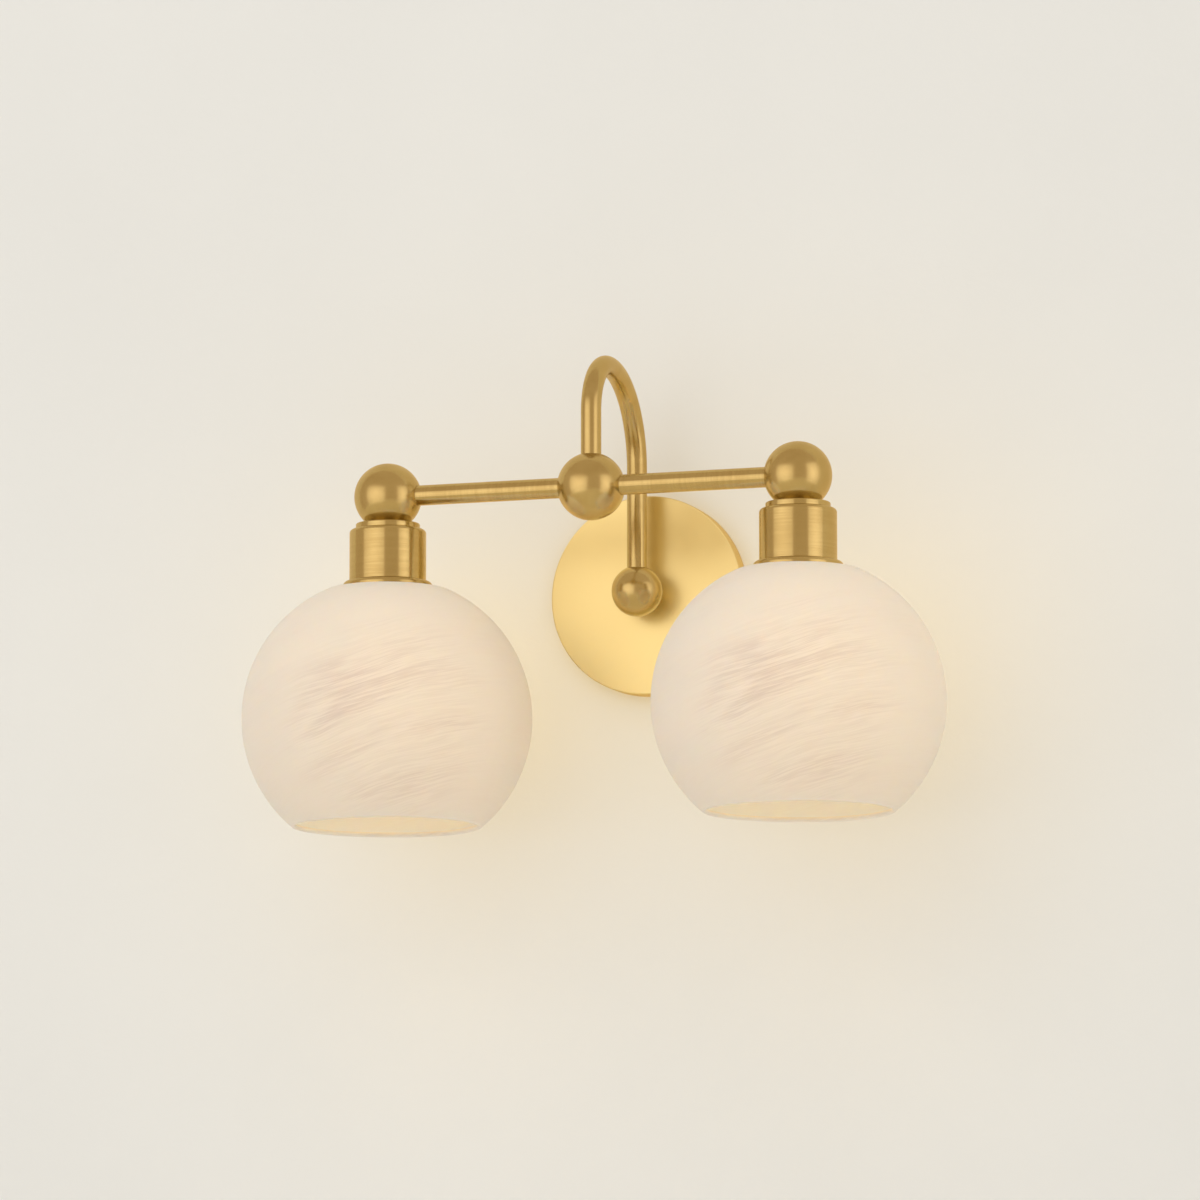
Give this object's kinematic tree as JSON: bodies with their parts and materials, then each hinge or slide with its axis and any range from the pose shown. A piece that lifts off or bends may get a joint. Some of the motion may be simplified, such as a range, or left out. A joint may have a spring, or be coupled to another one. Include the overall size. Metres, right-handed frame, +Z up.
{
  "type": "vanity light",
  "caption": "Wall vanity light: round backplate, hooked brass arm and crossbar with ball joints, open-bottomed opal globe shades over screw-in bulbs.",
  "frame": {"origin": "on the wall plane, at the centre of the backplate and of the mounting strap's slots", "axes": "+Z up, +Y into the wall, the lamps stand out along -Y, +X along the crossbar"},
  "size_m": [0.4254, 0.2007, 0.2798],
  "materials": {
    "bright_brass": "semi-polished, lacquered",
    "satin_brass": "brushed satin, aged",
    "zinc_steel": "zinc plated",
    "green_steel": "green passivated",
    "bare_copper": "bare drawn copper",
    "black_plastic": "moulded",
    "porcelain": "glazed white",
    "nickel": "nickel plated",
    "contact_brass": "rolled strip",
    "opal_glass": "streaked opal, satin",
    "silicone": "matte",
    "white_phenolic": "moulded",
    "solder": "dull",
    "black_glass": "pressed",
    "frosted_glass": "frosted, lit",
    "clear_glass": "clear",
    "filament": "lit",
    "black_wire": "insulation",
    "white_wire": "insulation"
  },
  "bodies": {
    "root": {"arm_collar": "satin_brass", "arm_lock_nut": "zinc_steel", "arm_lock_washer": "zinc_steel", "arm_nipple": "zinc_steel", "backplate": "bright_brass", "backplate_set_screws": "satin_brass", "centre_contact_left": "contact_brass", "centre_contact_right": "contact_brass", "crossbar_left": "satin_brass", "crossbar_right": "satin_brass", "cup_collar_left": "satin_brass", "cup_collar_right": "satin_brass", "cup_lock_nuts": "zinc_steel", "cup_nipples": "zinc_steel", "end_ball_left": "satin_brass", "end_ball_right": "satin_brass", "gooseneck_tube": "satin_brass", "ground_lead": "bare_copper", "ground_screw": "green_steel", "holder_bracket_left": "zinc_steel", "holder_bracket_right": "zinc_steel", "holder_screws": "zinc_steel", "hub_ball": "satin_brass", "knuckle_ball": "satin_brass", "lampholder_body_left": "porcelain", "lampholder_body_right": "porcelain", "lead_live_left": "black_wire", "lead_live_right": "black_wire", "lead_neutral_left": "white_wire", "lead_neutral_right": "white_wire", "mounting_strap": "zinc_steel", "screw_shell_left": "nickel", "screw_shell_right": "nickel", "shade_seat_left": "satin_brass", "shade_seat_right": "satin_brass", "socket_cup_left": "satin_brass", "socket_cup_right": "satin_brass", "tube_nipples": "zinc_steel", "wire_bushing": "black_plastic"},
    "shade_left": {"glass_shade_left": "opal_glass", "shade_gasket_left": "silicone"},
    "ring_left": {"shade_ring_left": "white_phenolic"},
    "bulb_left": {"bulb_cap_left": "nickel", "bulb_envelope_left": "frosted_glass", "bulb_filaments_left": "filament", "bulb_foot_left": "solder", "bulb_insulator_left": "black_glass", "bulb_stem_left": "clear_glass"},
    "shade_right": {"glass_shade_right": "opal_glass", "shade_gasket_right": "silicone"},
    "ring_right": {"shade_ring_right": "white_phenolic"},
    "bulb_right": {"bulb_cap_right": "nickel", "bulb_envelope_right": "frosted_glass", "bulb_filaments_right": "filament", "bulb_foot_right": "solder", "bulb_insulator_right": "black_glass", "bulb_stem_right": "clear_glass"}
  },
  "joints": [
    {"name": "shade_left_lower", "type": "slide", "parent": "root", "child": "shade_left", "axis": [0, 0, -1], "range_m": [0, 0.008]},
    {"name": "shade_ring_left_turn", "type": "hinge", "parent": "shade_left", "child": "ring_left", "pos_m": [-0.127, -0.115, -0.0126], "axis": [0, 0, -1], "range_deg": [0, 1440]},
    {"name": "bulb_left_draw", "type": "slide", "parent": "root", "child": "bulb_left", "axis": [0, 0, -1], "range_m": [0, 0.16]},
    {"name": "shade_right_lower", "type": "slide", "parent": "root", "child": "shade_right", "axis": [0, 0, -1], "range_m": [0, 0.008]},
    {"name": "shade_ring_right_turn", "type": "hinge", "parent": "shade_right", "child": "ring_right", "pos_m": [0.127, -0.115, -0.0126], "axis": [0, 0, -1], "range_deg": [0, 1440]},
    {"name": "bulb_right_draw", "type": "slide", "parent": "root", "child": "bulb_right", "axis": [0, 0, -1], "range_m": [0, 0.16]}
  ],
  "couplings": [
    {"joint": "shade_ring_left_turn", "follows": "shade_left_lower", "rad_per_m": 3141.6},
    {"joint": "shade_ring_right_turn", "follows": "shade_right_lower", "rad_per_m": 3141.6}
  ]
}
